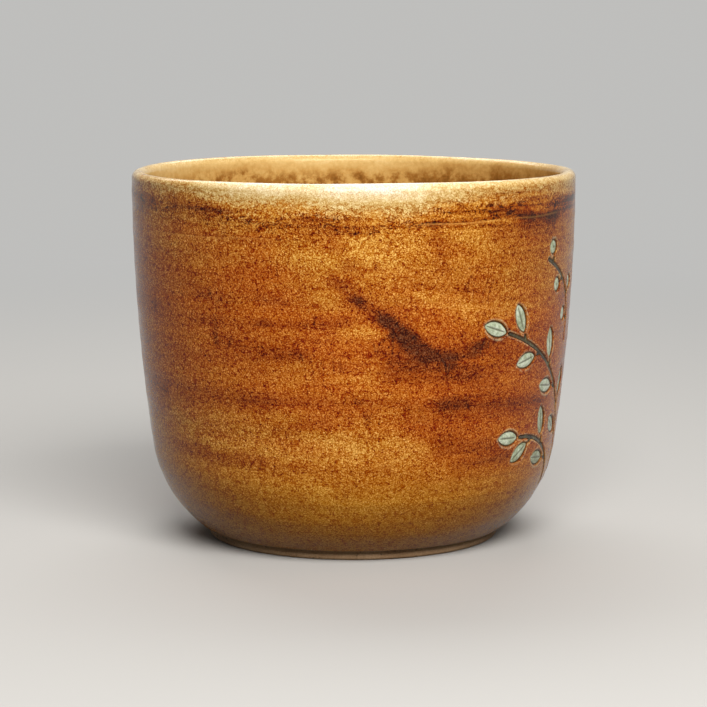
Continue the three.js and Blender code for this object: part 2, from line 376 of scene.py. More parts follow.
def throwingMarks(turn, z):
    # a sum of waves up the wall, and a slow sway round the pot that grows towards the lip
    height = np.zeros(np.broadcast(turn, z).shape)
    for length, size, phase in throwing["waves"]:
        climb = z + throwing["climb"] * np.sin(turn + phase)
        twist = throwing["twist"] * np.sin(2 * turn + phase)
        height = height + size * np.sin(2 * np.pi * climb / length + phase + twist)
    return height + throwing["sway"] * smooth(*throwing["swayRise"], z) * lobes(turn, throwing["swayLobes"])


def hairMarks(turn, z):
    # fine scratched lines, deepest along their middle and fading towards their ends
    angle = np.degrees(turn) % 360
    fadeIn, fadeOut = throwing["hairFade"]
    mark = np.zeros(np.broadcast(turn, z).shape)
    for first, last, zFirst, zLast, strength in throwing["hairLines"]:
        share = ((angle - first) % 360) / (last - first)
        wander = throwing["hairWander"] * np.sin(throwing["hairBends"] * share)
        height = zFirst + (zLast - zFirst) * share + wander
        fade = smooth(0, fadeIn, share) * (1 - smooth(fadeOut, 1, share))
        mark = np.maximum(mark, strength * fade * bell(z - height, throwing["hairWidth"]))
    return mark


# where the glaze lies thick and dark or thin and bright, as soft strokes on the wall
strokes = {
    # degrees and mm at both ends, half width in mm, strength: above 0 darkens, below 0 brightens
    "front": [
        (-5, 63.6, 1, 58.8, 1.5, 0.55), (1, 58.8, 9, 54.1, 1.6, 0.75), (8, 54.4, 13.5, 50.6, 1.9, 1.05),
        (13, 50.8, 18, 47.3, 2.1, 1.25), (18, 47.5, 25, 45.9, 1.6, 0.8), (24, 46.2, 33, 48.2, 1.9, 0.55),
        (32, 47.5, 42, 50.5, 1.8, 0.6), (7, 48, 14, 46, 2.6, 0.45), (-45, 61.5, -35, 57, 2.0, 0.3),
        (-24, 58.8, -17, 58.2, 1.2, 0.4), (-45, 53, -22, 53.6, 1.2, 0.35), (-24, 53.5, -2, 54, 0.9, 0.4),
        (-36, 49, -12, 47, 2.4, 0.4), (-26, 46.2, -12, 47.2, 1.4, 0.2), (-50, 37, -22, 36.6, 2.0, 0.4),
        (-30, 36.8, 2, 37, 0.9, 0.25), (2, 37.2, 30, 36, 1.2, 0.4), (-20, 31.5, -6, 32.2, 0.9, 0.3),
        (24, 36, 62, 33.5, 2.6, 0.65), (10, 43, 32, 42, 2.4, 0.4), (24, 45, 38, 41, 3.2, 0.35),
        (24, 27, 45, 24, 3.0, 0.45), (28, 22, 60, 23, 1.4, 0.3), (40, 46, 62, 44, 3.0, 0.4),
        (20, 75, 22, 66, 1.6, 0.35), (-72, 76, -50, 76.8, 2.6, 0.15), (-52, 77.4, -36, 77, 1.8, 0.15),
        (-43, 77.5, -32, 77.2, 1.0, 0.35), (-8, 75, 0, 73.6, 1.4, 0.2), (-14, 76.6, -6, 76.4, 1.0, 0.25),
        (17, 75, 26, 74.6, 1.2, 0.3), (34, 77.6, 46, 77, 1.2, 0.4), (38, 77, 48, 75.9, 2.0, 0.6),
        (47, 75.6, 60, 74.9, 2.3, 0.9), (59, 75.2, 72, 75.2, 1.7, 0.6), (40, 71, 66, 70, 4.5, 0.3),
        (14, 62, 32, 60, 1.0, 0.35), (-55, 24, -25, 23.4, 1.5, 0.35), (-25, 23, 10, 22.6, 1.1, 0.25),
        (-4, 70.5, -1, 66, 1.8, 0.65), (9, 45.8, 19, 45, 1.8, 0.3), (-26, 43.1, -9, 42.9, 1.5, 0.3),
        (-6, 45, 8, 43.6, 2.0, 0.2), (-42, 57.7, -30, 57.5, 1.5, 0.2), (-26, 20, -10, 18, 2.6, -0.3),
        (-8, 15.5, 8, 14.5, 2.4, -0.3), (-2, 70, 14, 71, 3.0, -0.5), (4, 68, 10, 66, 2.4, -0.3),
        (22, 73.5, 32, 72.5, 2.4, -0.4), (18, 58.5, 30, 56, 2.6, -0.4), (-2, 51.8, 6, 52.2, 1.4, -0.35),
        (-6, 28, 14, 27, 3.4, -0.4), (-22, 25, 0, 24, 3.0, -0.3), (14, 33, 26, 32, 3.0, 0.25),
        (-24, 42.5, 4, 42, 2.0, -0.25), (-40, 27, -12, 28, 3.0, -0.2), (-20, 67.5, -4, 67, 2.4, -0.2),
    ],
    "back": [
        (62, 78, 100, 77, 1.6, 0.5), (80, 40, 120, 37, 3.5, 0.5), (118, 58, 160, 54, 3.0, 0.5),
        (130, 76.5, 200, 77.2, 1.6, 0.7), (140, 34, 210, 37, 3.0, 0.5), (158, 41, 171, 46, 1.7, 0.55),
        (170, 46, 186, 48.5, 1.9, 0.75), (186, 48.5, 206, 47.5, 1.3, 0.5), (214, 46, 250, 50, 2.4, 0.4),
        (205, 77.2, 300, 77.8, 1.5, 0.6), (230, 36, 300, 37, 2.4, 0.45), (255, 58, 300, 55, 2.0, 0.4),
        (150, 46, 180, 48, 2.0, 0.4), (150, 68, 190, 70, 3.0, -0.4), (215, 66, 260, 69, 2.6, -0.35),
        (160, 27, 230, 26, 3.2, -0.35), (225, 43, 270, 42, 2.4, -0.3), (95, 64, 130, 68, 2.8, -0.35),
        (90, 26, 140, 28, 3.0, -0.3),
    ],
    "darkest": 1.25,
    # degrees and mm along the lower edge of the pale lip, which reaches lowest at the front, where it is partly
    # a painted highlight
    "paleAndHighlightEdge": [
        (-180, 79.8), (-140, 80.4), (-110, 79.6), (-70, 81.7), (-48, 80.9), (-37, 79.4), (-27, 77.9),
        (-18, 77.6), (-10, 78.1), (-2, 77.5), (5, 76.8), (13, 77.2), (20, 78.8), (30, 80.0), (45, 80.2),
        (70, 80.4), (95, 80.6), (130, 79.4), (180, 79.8),
    ],
    # mm up the wall, and how far the glaze there is gold rather than rust
    "goldZones": [(15, 0.75), (26, 0.62), (33, 0.5), (38, 0.25), (48, 0.18), (56, 0.4), (62, 0.72),
                  (70, 0.85), (83, 0.9)],
    # less gold low on the right and high on the left: how much, where round the pot, and mm up the wall
    "rustRight": {"share": 0.3, "side": (0.2, 0.5), "top": (36, 46)},
    "rustLeft": {"share": 0.4, "side": (-0.15, -0.45), "bottom": (48, 54), "top": (70, 78)},
}


def strokeTone(turn, z):
    # each stroke counts by a bell curve of the distance to its middle line
    angle = frontAngle(turn)
    tone = np.zeros(np.broadcast(turn, z).shape)
    for fromAngle, fromZ, toAngle, toZ, width, strength in strokes["front"] + strokes["back"]:
        u = np.radians((angle - (fromAngle + toAngle) / 2 + 180) % 360 - 180) * pot["rimRadius"]
        v = z - (fromZ + toZ) * mm / 2
        half = np.radians(toAngle - fromAngle) * pot["rimRadius"] / 2
        rise = (toZ - fromZ) * mm / 2
        share = np.clip((u * half + v * rise) / (half**2 + rise**2), -1, 1)
        tone = tone + strength * bell(np.hypot(u - share * half, v - share * rise), width * mm)
    return np.minimum(tone, strokes["darkest"])


def glazeTone(turn, z):
    # the strokes, and a painted shadow just above each scratched line
    return strokeTone(turn, z) + hairMarks(turn, z - throwing["hairShadowRise"])


def goldShare(turn, z):
    # read from the zones up the wall, less a share low on the side of the sprig and high on the other side
    heights, shares = np.array(strokes["goldZones"]).T
    low, high = strokes["rustRight"], strokes["rustLeft"]
    up = z / mm
    right = smooth(*low["side"], np.sin(turn)) * (1 - smooth(*low["top"], up))
    left = smooth(*high["side"], np.sin(turn)) * smooth(*high["bottom"], up) * (1 - smooth(*high["top"], up))
    return np.interp(up, heights, shares) - low["share"] * right - high["share"] * left


def overPaleAndHighlightEdge(turn, z):
    # mm above the lower edge of the pale lip, which runs in S-shaped steps from place to place
    angles, heights = np.array(strokes["paleAndHighlightEdge"]).T
    angle = frontAngle(turn)
    place = np.clip(np.searchsorted(angles, angle), 1, len(angles) - 1)
    step = smooth(angles[place - 1], angles[place], angle)
    return z / mm - heights[place - 1] - (heights[place] - heights[place - 1]) * step


def glazeCoat(name, rows, normals, top, hiddenRows):
    # a closed coat from its shaped top and its plain underside, with sharp edges at both ends
    grid = np.concatenate([top, sunk(rows, normals, hiddenRows, turns)])
    sharpRows = [0, len(rows) - 1, len(rows), len(grid) - 1]
    faces = [ringFaces(len(grid), turns.size, True)]
    return putMesh(name, turnedPoints(grid, turns), faces, sharpRows, turns.size)


# outer glaze: the wall from under the lip band to the bare foot, carved with the sprig
outerGlaze = {"rowStep": 0.25 * mm, "plainStep": 0.5 * mm, "lowStep": 0.75 * mm, "carveTop": 66.5 * mm,
              "carveLow": 12.5 * mm, "hiddenRows": 7}
plainZ = np.arange(pot["bandBottom"], outerGlaze["carveTop"], -outerGlaze["plainStep"])
carveZ = np.arange(outerGlaze["carveTop"], outside["touchZ"], -outerGlaze["rowStep"])
carveTurn = math.asin((outside["bellyZ"] - outerGlaze["carveLow"]) / outside["bellyArc"])
bendTurns = np.arange(outside["touch"], carveTurn, outerGlaze["rowStep"] / outside["bellyArc"])
lowCount = round((glazeTurn - carveTurn) * outside["bellyArc"] / outerGlaze["lowStep"])
lowTurns = np.linspace(carveTurn, glazeTurn, lowCount)
wallPart, wallNormal = wallRows(outside, np.concatenate([plainZ, carveZ]))
bellyPart, bellyNormal = bellyRows(outside, np.concatenate([bendTurns, lowTurns]))
outerRows = np.concatenate([wallPart, bellyPart])
outerNormals = np.concatenate([wallNormal, bellyNormal])
rowZ = outerRows[:, 1:2]
flatU = (turns - sprig["direction"] + np.pi) % (2 * np.pi) - np.pi
cut, line, burr = carving(flatU * pot["rimRadius"] + 0 * rowZ, rowZ + 0 * turns)
hair = hairMarks(turns, rowZ)
outerHeight = throwingMarks(turns, rowZ) + cut - throwing["hairDepth"] * hair
outerPiece = glazeCoat("outerGlaze", outerRows, outerNormals, raised(outerRows, outerNormals, outerHeight),
                       outerGlaze["hiddenRows"])
giveValues(outerPiece, tone=glazeTone(turns, rowZ), line=line, burr=burr, hair=hair,
           lip=overPaleAndHighlightEdge(turns, rowZ), gold=goldShare(turns, rowZ))
print("outer glaze:", len(outerPiece.data.polygons), "faces")

# lip glaze: up the outside, over the rounded lip and a little way down the inside
lipGlaze = {"bandRows": 60, "lipRows": 24, "insideRows": 16, "hiddenRows": 14, "wave": 0.06 * mm,
            "waveReach": 5 * mm, "waveLobes": [(2, 1.0, 1.0), (5, 0.6, 0.0), (9, 0.4, 0.0)]}
bandRows, bandNormals = wallRows(outside, np.linspace(lipZ, pot["bandBottom"], lipGlaze["bandRows"]))
lipTurns = np.linspace(-math.pi, 0, lipGlaze["lipRows"])[1:-1]
lipRows, lipNormals = arcRows(lipMiddle, lipZ, lipRadius, lipTurns)
downRows, downNormals = wallRows(inside, np.linspace(lipZ, pot["linerTop"], lipGlaze["insideRows"]))
rimRows = np.concatenate([downRows[::-1], lipRows, bandRows])
rimNormals = np.concatenate([-downNormals[::-1], lipNormals, bandNormals])
outwards = np.concatenate([np.zeros(len(downRows)), smooth(-math.pi, -0.5 * math.pi, lipTurns),
                           np.ones(len(bandRows))])[:, None]
rimZ = rimRows[:, 1:2]
rimHair = hairMarks(turns, rimZ) * outwards
rimTop = raised(rimRows, rimNormals, throwingMarks(turns, rimZ) * outwards - throwing["hairDepth"] * rimHair)
waveShare = smooth(pot["height"] - lipGlaze["waveReach"], pot["height"], rimZ)
rimTop[..., 1] += lipGlaze["wave"] * waveShare * lobes(turns, lipGlaze["waveLobes"])
rimPiece = glazeCoat("lipGlaze", rimRows, rimNormals, rimTop, lipGlaze["hiddenRows"])
giveValues(rimPiece, tone=glazeTone(turns, rimZ) * outwards, hair=rimHair, lip=overPaleAndHighlightEdge(turns, rimZ),
           gold=goldShare(turns, rimZ), inner=1 - outwards + 0 * turns)
print("lip glaze:", len(rimPiece.data.polygons), "faces")

# liner: the inside wall and floor, with the spiral that throwing leaves
linerGlaze = {"wallRows": 90, "bellyRows": 40, "floorRows": 36, "hiddenRows": 16, "axisGap": 0.4 * mm,
              "ringSize": 0.06 * mm, "ringStep": 5.2 * mm, "ringWander": 0.6, "ringFade": 6 * mm,
              "dish": 0.3 * mm}
linerHeights = np.linspace(pot["linerTop"], inside["touchZ"], linerGlaze["wallRows"])
linerWall, linerWallN = wallRows(inside, linerHeights)
linerTurns = np.linspace(inside["touch"], math.pi / 2, linerGlaze["bellyRows"])[1:]
linerBelly, linerBellyN = bellyRows(inside, linerTurns)
floorEdge = linerBelly[-1, 0]
floorR = np.linspace(floorEdge, linerGlaze["axisGap"], linerGlaze["floorRows"])[1:]
dish = linerGlaze["dish"] * (1 - (floorR / floorEdge) ** 2) ** 2  # lowest in the middle, level at its edge
linerFloor = np.stack([floorR, pot["floorTop"] - dish], 1)
linerRows = np.concatenate([linerWall, linerBelly, linerFloor])
linerNormals = -np.concatenate([linerWallN, linerBellyN, np.tile([0.0, -1.0], (len(linerFloor), 1))])
travel = np.concatenate([[0], np.cumsum(np.hypot(*np.diff(linerRows, axis=0).T))])[:, None]
wander = linerGlaze["ringWander"] * np.sin(evenTurns * 2)
spiral = np.sin(2 * np.pi * travel / linerGlaze["ringStep"] + evenTurns + wander)
fade = smooth(0, linerGlaze["ringFade"], travel) * smooth(0, linerGlaze["ringFade"], linerRows[:, 0:1])
linerTop = raised(linerRows, linerNormals, linerGlaze["ringSize"] * fade * spiral)
linerUnder = sunk(linerRows, linerNormals, linerGlaze["hiddenRows"], evenTurns)
linerPoints = turnedPoints(np.concatenate([linerTop, linerUnder]), evenTurns).reshape(-1, 3)
around = evenTurns.size
topRows, allRows = len(linerTop), len(linerTop) + len(linerUnder)
linerQuads = ringFaces(allRows, around, True)
linerQuads = np.delete(linerQuads, np.s_[(topRows - 1) * around:topRows * around], axis=0)[:, ::-1]
poles = np.array([[0, 0, pot["floorTop"] - linerGlaze["dish"]], [0, 0, pot["floorTop"] - pot["glaze"]]])
linerFaces = [linerQuads, fanFaces((topRows - 1) * around, around, allRows * around, True),
              fanFaces(topRows * around, around, allRows * around + 1, False)]
linerPiece = putMesh("linerGlaze", np.concatenate([linerPoints, poles]), linerFaces, [0, allRows - 1], around)
print("liner glaze:", len(linerPiece.data.polygons), "faces")

# clay body: bare at the foot, with the turning marks of the trimming tool underneath
clayBody = {"bevel": 0.7 * mm, "cove": 0.8 * mm, "axisGap": 0.4 * mm, "trimSize": 0.05 * mm,
            "trimStep": 1.3 * mm, "trimFade": 4 * mm, "stripRows": 9, "edgeRows": 6, "seatRows": 9,
            "underRows": 60, "linerEvery": 4, "lipEvery": 2, "wallEvery": 8}  # under a coat, one row in so many
hiddenNormals = np.concatenate([downNormals, linerWallN[1:], linerBellyN])
hidden = np.concatenate([downRows, linerWall[1:], linerBelly]) + pot["glaze"] * hiddenNormals
clayLip = arcRows(lipMiddle, lipZ, lipRadius - pot["glaze"], lipTurns)[0]
clayNormals = np.concatenate([bandNormals, outerNormals[1:]])
clayWall = np.concatenate([bandRows, outerRows[1:]]) - pot["glaze"] * clayNormals
stripTurns = np.linspace(glazeTurn, footTurn, clayBody["stripRows"])
strip = arcRows(outside["bellyR"], outside["bellyZ"], clayBelly, stripTurns)[0][1:]
ringOut, ringIn = pot["footRadius"], pot["footRadius"] - pot["footRingWidth"]
bevel, cove = clayBody["bevel"], clayBody["cove"]
quarter = np.linspace(0, math.pi / 2, clayBody["edgeRows"])
outerEdge = arcRows(ringOut - bevel, bevel, bevel, quarter)[0]
innerEdge = arcRows(ringIn + bevel, bevel, bevel, quarter + math.pi / 2)[0]
corner = arcRows(ringIn - cove, pot["footRecess"] - cove, cove, -quarter)[0]
seatR = np.linspace(ringOut - bevel, ringIn + bevel, clayBody["seatRows"])[1:-1]
seat = np.stack([seatR, 0 * seatR], 1)
underR = np.linspace(ringIn - cove, clayBody["axisGap"], clayBody["underRows"])[1:]
under = np.stack([underR, np.full(underR.shape, pot["footRecess"])], 1)
clayRows = np.concatenate([hidden[::clayBody["linerEvery"]][::-1], clayLip[::clayBody["lipEvery"]],
                           clayWall[:-1:clayBody["wallEvery"]], clayWall[-1:], strip, outerEdge, seat,
                           innerEdge, corner, under])
clayGrid = clayRows[:, None, :] + 0 * evenTurns[..., None]
trim = np.sin(2 * np.pi * underR[:, None] / clayBody["trimStep"] + evenTurns)
trim = trim * smooth(0, clayBody["trimFade"], underR[:, None])
clayGrid[-len(under):, :, 1] += clayBody["trimSize"] * trim
poles = np.array([[0, 0, pot["floorTop"] - pot["glaze"]], [0, 0, pot["footRecess"]]])
clayCount = len(clayRows) * around
clayFaces = [ringFaces(len(clayRows), around, False), fanFaces(0, around, clayCount, True),
             fanFaces(clayCount - around, around, clayCount + 1, False)]
clayPoints = turnedPoints(clayGrid, evenTurns).reshape(-1, 3)
clayPiece = putMesh("clayBody", np.concatenate([clayPoints, poles]), clayFaces)
print("clay body:", len(clayPiece.data.polygons), "faces")

# stem inlays: a shallow section carried along each stem and stalk
stemInlay = {"top": 0.18 * mm, "dish": 0.07 * mm, "bottom": 0.5 * mm, "across": 5, "endShare": 0.55}


def stemGrid(path):
    # the top dips in the middle and the underside is flat; both ends are narrower
    step = np.gradient(path, axis=0)
    along = step / np.linalg.norm(step, axis=1, keepdims=True)
    sideways = np.stack([-along[:, 1], along[:, 0]], 1)
    share = np.linspace(-1, 1, stemInlay["across"])
    width = np.full(len(path), sprig["stemWidth"] / 2)
    width[[0, -1]] *= stemInlay["endShare"]
    flat = path[:, None] + sideways[:, None] * (share[None, :, None] * width[:, None, None])
    upper = ontoWall(flat, stemInlay["top"] + stemInlay["dish"] * (1 - share**2) + 0 * flat[..., 0])
    lower = ontoWall(flat[:, ::-1], stemInlay["bottom"] + 0 * flat[..., 0])
    return np.concatenate([upper, lower], 1)


def tubeFaces(steps, ring):
    # quads round a closed section all along its path, and a cap on each end
    r = np.arange(steps - 1)[:, None] * ring
    c = np.arange(ring)[None]
    follow = (c + 1) % ring
    sides = np.stack([r + follow, r + ring + follow, r + ring + c, r + c], -1).reshape(-1, 4)
    k = np.arange(ring // 2 - 1)
    cap = np.stack([k, ring - 1 - k, ring - 2 - k, k + 1], 1)
    return np.concatenate([sides, cap[:, ::-1], cap + (steps - 1) * ring])[:, ::-1]


stemPieces = {}
for stemName, paths in stemPaths.items():
    grids = [stemGrid(path) for path in paths]
    starts = np.cumsum([0] + [grid.shape[0] * grid.shape[1] for grid in grids])
    faces = [tubeFaces(*grid.shape[:2]) + start for grid, start in zip(grids, starts)]
    points = np.concatenate([grid.reshape(-1, 3) for grid in grids])
    stemPieces[stemName] = putMesh("stemInlay_" + stemName, points, faces)
print("stems:", len(stemPieces))

# leaf pools: domed patches of pooled glaze with a midrib and side veins
leafPool = {"along": 41, "across": 21, "tip": 0.995, "edge": 0.34 * mm, "dome": 0.20 * mm, "bottom": 0.5 * mm,
            "rib": 0.14 * mm, "ribWidth": 0.15, "ribFade": (0.7, 0.95), "vein": 0.05 * mm, "veinCount": 4.5,
            "veinSlant": 0.45, "veinPower": 6, "veinEdge": (0.1, 0.4), "veinRoot": (0.1, 0.3),
            "veinShade": 0.45}


def leafGrid(middle, along):
    # along and across the leaf; the dome falls to the edge, with a groove down the midrib and slanted veins
    s = np.sin(np.linspace(-1, 1, leafPool["along"]) * math.pi / 2)[:, None] * leafPool["tip"]
    t = np.linspace(-1, 1, leafPool["across"])[None]
    edge = sprig["leafWidth"] / 2 * (1 - s**2) ** (sprig["leafTaper"] / 2)
    sideways = np.array([-along[1], along[0]])
    flat = middle + (s * sprig["leafLength"] / 2)[..., None] * along + (t * edge)[..., None] * sideways
    body = (1 - t**2) * (1 - s**4)
    rib = bell(t, leafPool["ribWidth"]) * (1 - smooth(*leafPool["ribFade"], np.abs(s)))
    wave = np.cos(np.pi * leafPool["veinCount"] * (s - leafPool["veinSlant"] * np.abs(t)))
    vein = np.clip(wave, 0, 1) ** leafPool["veinPower"] * smooth(*leafPool["veinEdge"], body)
    vein = vein * smooth(*leafPool["veinRoot"], np.abs(t))
    depth = leafPool["edge"] - leafPool["dome"] * np.sqrt(body)
    depth = depth + leafPool["rib"] * rib + leafPool["vein"] * vein
    return flat, depth, 1 - body, np.maximum(rib, leafPool["veinShade"] * vein)


def patchFaces(rows, cols):
    # an upper grid and a lower grid, closed round their edges
    r = np.arange(rows - 1)[:, None] * cols
    c = np.arange(cols - 1)[None]
    upper = np.stack([r + c, r + cols + c, r + cols + c + 1, r + c + 1], -1).reshape(-1, 4)
    grid = np.arange(rows * cols).reshape(rows, cols)
    edge = np.concatenate([grid[0], grid[1:, -1], grid[-1, -2::-1], grid[-2:0:-1, 0]])
    follow = np.roll(edge, -1)
    rim = np.stack([edge, follow, follow + rows * cols, edge + rows * cols], 1)
    return np.concatenate([upper, upper[:, ::-1] + rows * cols, rim])


leafPieces = []
for number, (middle, along) in enumerate(leafPlaces, 1):
    flat, depth, thin, vein = leafGrid(middle, along)
    points = np.concatenate([ontoWall(flat, depth), ontoWall(flat, leafPool["bottom"] + 0 * depth)])
    piece = putMesh("leafPool_%02d" % number, points, [patchFaces(*depth.shape)])
    giveValues(piece, thin=thin, vein=vein)
    leafPieces.append(piece)

# berry pools: domes with a dimple in the middle
berryPool = {"rings": 14, "round": 40, "innermost": 0.06, "edge": 0.36 * mm, "dome": 0.30 * mm,
             "fullness": 0.999, "eye": 0.18, "eyeDepth": 0.15 * mm, "bottom": 0.5 * mm}


def berryGrid(middle):
    # rings from the edge to the top; the dome is part of a ball, less a bell-shaped dimple
    s = np.linspace(1, berryPool["innermost"], berryPool["rings"])[:, None]
    t = np.linspace(0, 2 * math.pi, berryPool["round"], endpoint=False)[None]
    flat = middle + sprig["berryRadius"] * np.stack([s * np.cos(t), s * np.sin(t)], -1)
    eye = bell(s, berryPool["eye"]) + 0 * t
    dome = berryPool["dome"] * np.sqrt(1 - berryPool["fullness"] * s**2)
    return flat, berryPool["edge"] - dome + berryPool["eyeDepth"] * eye, s**2 + 0 * t, eye


berryPieces = []
for number, middle in enumerate(berryPlaces, 1):
    flat, depth, thin, eye = berryGrid(middle)
    upper = ontoWall(flat, depth)
    lower = ontoWall(flat[:1], berryPool["bottom"] + 0 * depth[:1])
    rows, cols = len(upper) + 1, berryPool["round"]
    faces = [ringFaces(rows, cols, False)[:, ::-1], fanFaces((rows - 1) * cols, cols, rows * cols, True),
             fanFaces(0, cols, rows * cols + 1, False)]
    points = np.concatenate([lower, upper]).reshape(-1, 3)
    ends = np.stack([upper[-1].mean(0), lower[0].mean(0)])
    piece = putMesh("berryPool_%02d" % number, np.concatenate([points, ends]), faces)
    giveValues(piece, thin=np.concatenate([thin[:1], thin]),
               vein=np.concatenate([eye[:1], eye, eye[-1:]]).ravel()[:rows * cols + 1])
    berryPieces.append(piece)
print("pools:", len(leafPieces), "leaves and", len(berryPieces), "berries")


def feed(tree, socket, value):
    # joins a node's output, or sets a plain value
    if isinstance(value, bpy.types.NodeSocket):
        tree.links.new(value, socket)
    else:
        socket.default_value = value


def addNode(tree, kind, inputs=(), **properties):
    # a node with its properties set and its inputs joined or filled
    node = tree.nodes.new("ShaderNode" + kind)
    for name, value in properties.items():
        setattr(node, name, value)
    for name, value in dict(inputs).items():
        feed(tree, node.inputs[name], value)
    return node


def newMaterial(name, roughness=0.5):
    # an empty material with one shader that is already joined to its output
    material = bpy.data.materials.new(name)
    material.use_nodes = True
    tree = material.node_tree
    tree.nodes.clear()
    shader = addNode(tree, "BsdfPrincipled", {"Roughness": roughness})
    addNode(tree, "OutputMaterial", {"Surface": shader.outputs[0]})
    return material, tree, shader


def calc(tree, operation, a, b=0.0):
    # one sum on two numbers, each of them plain or from a node
    return addNode(tree, "Math", {0: a, 1: b}, operation=operation).outputs[0]


def plus(tree, a, b):
    return calc(tree, "ADD", a, b)


def minus(tree, a, b):
    return calc(tree, "SUBTRACT", a, b)


def times(tree, product, *others):
    for other in others:
        product = calc(tree, "MULTIPLY", product, other)
    return product


def addUp(tree, start, fields, weights):
    # start plus each named field's distance from one half, times its weight
    for name, weight in weights.items():
        start = plus(tree, start, times(tree, minus(tree, fields[name], 0.5), weight))
    return start


def ownPlace(tree):
    # the object's own coordinates
    return addNode(tree, "TexCoord").outputs["Object"]


def placeOn(tree, axis):
    return addNode(tree, "SeparateXYZ", {0: ownPlace(tree)}).outputs[axis]


def noise(tree, scale, detail=2.0, rough=0.5, stretch=(1, 1, 1), turn=(0, 0, 0), shift=(0, 0, 0), curl=0.0):
    # a soft noise round one half, on coordinates that are stretched, turned and shifted
    mapping = addNode(tree, "Mapping", {"Vector": ownPlace(tree), "Location": shift, "Rotation": turn,
                                        "Scale": stretch})
    node = addNode(tree, "TexNoise", {"Vector": mapping.outputs[0], "Scale": scale, "Detail": detail,
                                      "Roughness": rough, "Distortion": curl})
    return node.outputs["Fac"]


def noiseFields(tree, settings):
    # one noise for each name in the settings
    return {name: noise(tree, **values) for name, values in settings.items()}


def meshValue(tree, name):
    # a layer of numbers that the mesh carries
    return addNode(tree, "Attribute", attribute_name=name).outputs["Fac"]


def spread(tree, value, low, high, toLow=0.0, toHigh=1.0):
    # an S-shaped step from toLow at low to toHigh at high
    inputs = {"Value": value, "From Min": low, "From Max": high, "To Min": toLow, "To Max": toHigh}
    return addNode(tree, "MapRange", inputs, interpolation_type="SMOOTHSTEP").outputs["Result"]


def threads(tree, value, width):
    # thin wandering lines, where a noise passes one half
    return spread(tree, calc(tree, "ABSOLUTE", minus(tree, value, 0.5)), width, 0.0)


def ramp(tree, value, stops):
    # a colour read from a row of places and colours
    node = addNode(tree, "ValToRGB", {"Fac": value})
    elements = node.color_ramp.elements
    while len(elements) < len(stops):
        elements.new(0.5)
    for element, (position, colour) in zip(elements, stops):
        element.position = position
        element.color = (*colour, 1)
    return node.outputs["Color"]


def mixColour(tree, share, a, b):
    # a where the share is 0, b where it is 1
    a, b = (c if isinstance(c, bpy.types.NodeSocket) else (*c, 1) for c in (a, b))
    return addNode(tree, "Mix", {"Factor": share, 6: a, 7: b}, data_type="RGBA").outputs[2]


def toPower(tree, colour, power):
    # each channel of a colour raised to a power
    return addNode(tree, "Gamma", {"Color": colour, "Gamma": power}).outputs[0]


def vectorCalc(tree, operation, *values):
    # one sum on the three channels at once
    return addNode(tree, "VectorMath", enumerate(values), operation=operation).outputs[0]


def speckled(tree, colour, amount, weights, screenPower=2.2):
    # lightens or darkens the three channels by nearly one amount, as the eye sees it
    seen = vectorCalc(tree, "MULTIPLY_ADD", amount, weights, toPower(tree, colour, 1 / screenPower))
    return toPower(tree, vectorCalc(tree, "MAXIMUM", seen, (0.0, 0.0, 0.0)), screenPower)


def seenDirectly(tree):
    # 1 for what the camera sees, straight or by a mirror image or through glass
    path = addNode(tree, "LightPath").outputs
    seen = calc(tree, "MAXIMUM", path["Is Camera Ray"], path["Is Glossy Ray"])
    return calc(tree, "MAXIMUM", seen, path["Is Transmission Ray"])


def bump(tree, shader, height, strength, distance):
    # fine relief under the gloss
    node = addNode(tree, "Bump", {"Height": height, "Strength": strength, "Distance": distance})
    feed(tree, shader.inputs["Normal"], node.outputs[0])


# gloss of the amber, lip and liner coats: a little weaker and warmer than clear glass
gloss = {"level": 0.22, "tint": (1.0, 0.76, 0.52, 1)}


def glossy(shader):
    shader.inputs["Specular IOR Level"].default_value = gloss["level"]
    shader.inputs["Specular Tint"].default_value = gloss["tint"]


# honey liner: paler than the outside, with brown clouds a little way under the lip, and a painted shade towards
# one side
linerNoise = {
    "clouds": {"scale": 360, "detail": 3.5, "rough": 0.65, "shift": (0.7, 1.9, 0.3)},
    "drifts": {"scale": 60, "shift": (0.1, 0.5, 0.8)},
    "specks": {"scale": 1100, "rough": 0.6, "shift": (0.9, 0.2, 0.4)},
}
linerTones = {
    "ramp": [(0.0, (0.16, 0.055, 0.008)), (0.3, (0.33, 0.145, 0.028)), (0.55, (0.56, 0.32, 0.09)),
             (0.8, (0.72, 0.48, 0.175)), (1.0, (0.82, 0.6, 0.27))],
    "start": 0.85,
    "glow": {"clouds": 0.3, "drifts": 0.6, "specks": 0.5},
    "edge": {"drifts": 0.006},
    "spots": {"drifts": 0.4, "specks": 0.3},
    # each from and to, and what they become
    "edgeRange": (0.0825, 0.0765),
    "depthRange": (0.035, 0.077, 0.42, 1.0),
    "spotRange": (0.29, 0.67, 0.1, 0.76),
    "paintedShadeSide": (-0.01, 0.035, 0.0, 0.2),
    "roughness": 0.2,
    "relief": {"scale": 300},
    "bump": (0.1, 0.3 * mm),
}


def linerColour(tree):
    # brightness is a sum of noises less the clouds, which are strongest under the lip, and less a painted shade
    # towards +X
    fields = noiseFields(tree, linerNoise)
    height = placeOn(tree, "Z")
    glow = addUp(tree, linerTones["start"], fields, linerTones["glow"])
    below = spread(tree, addUp(tree, height, fields, linerTones["edge"]), *linerTones["edgeRange"])
    below = times(tree, below, spread(tree, height, *linerTones["depthRange"]))
    spots = spread(tree, addUp(tree, fields["clouds"], fields, linerTones["spots"]), *linerTones["spotRange"])
    glow = minus(tree, glow, times(tree, below, spots))
    # painted shade: the liner darker towards +X
    glow = minus(tree, glow, spread(tree, placeOn(tree, "X"), *linerTones["paintedShadeSide"]))
    return ramp(tree, glow, linerTones["ramp"])


def honeyLiner():
    material, tree, shader = newMaterial("honeyLiner", linerTones["roughness"])
    feed(tree, shader.inputs["Base Color"], linerColour(tree))
    glossy(shader)
    bump(tree, shader, noise(tree, **linerTones["relief"]), *linerTones["bump"])
    return material
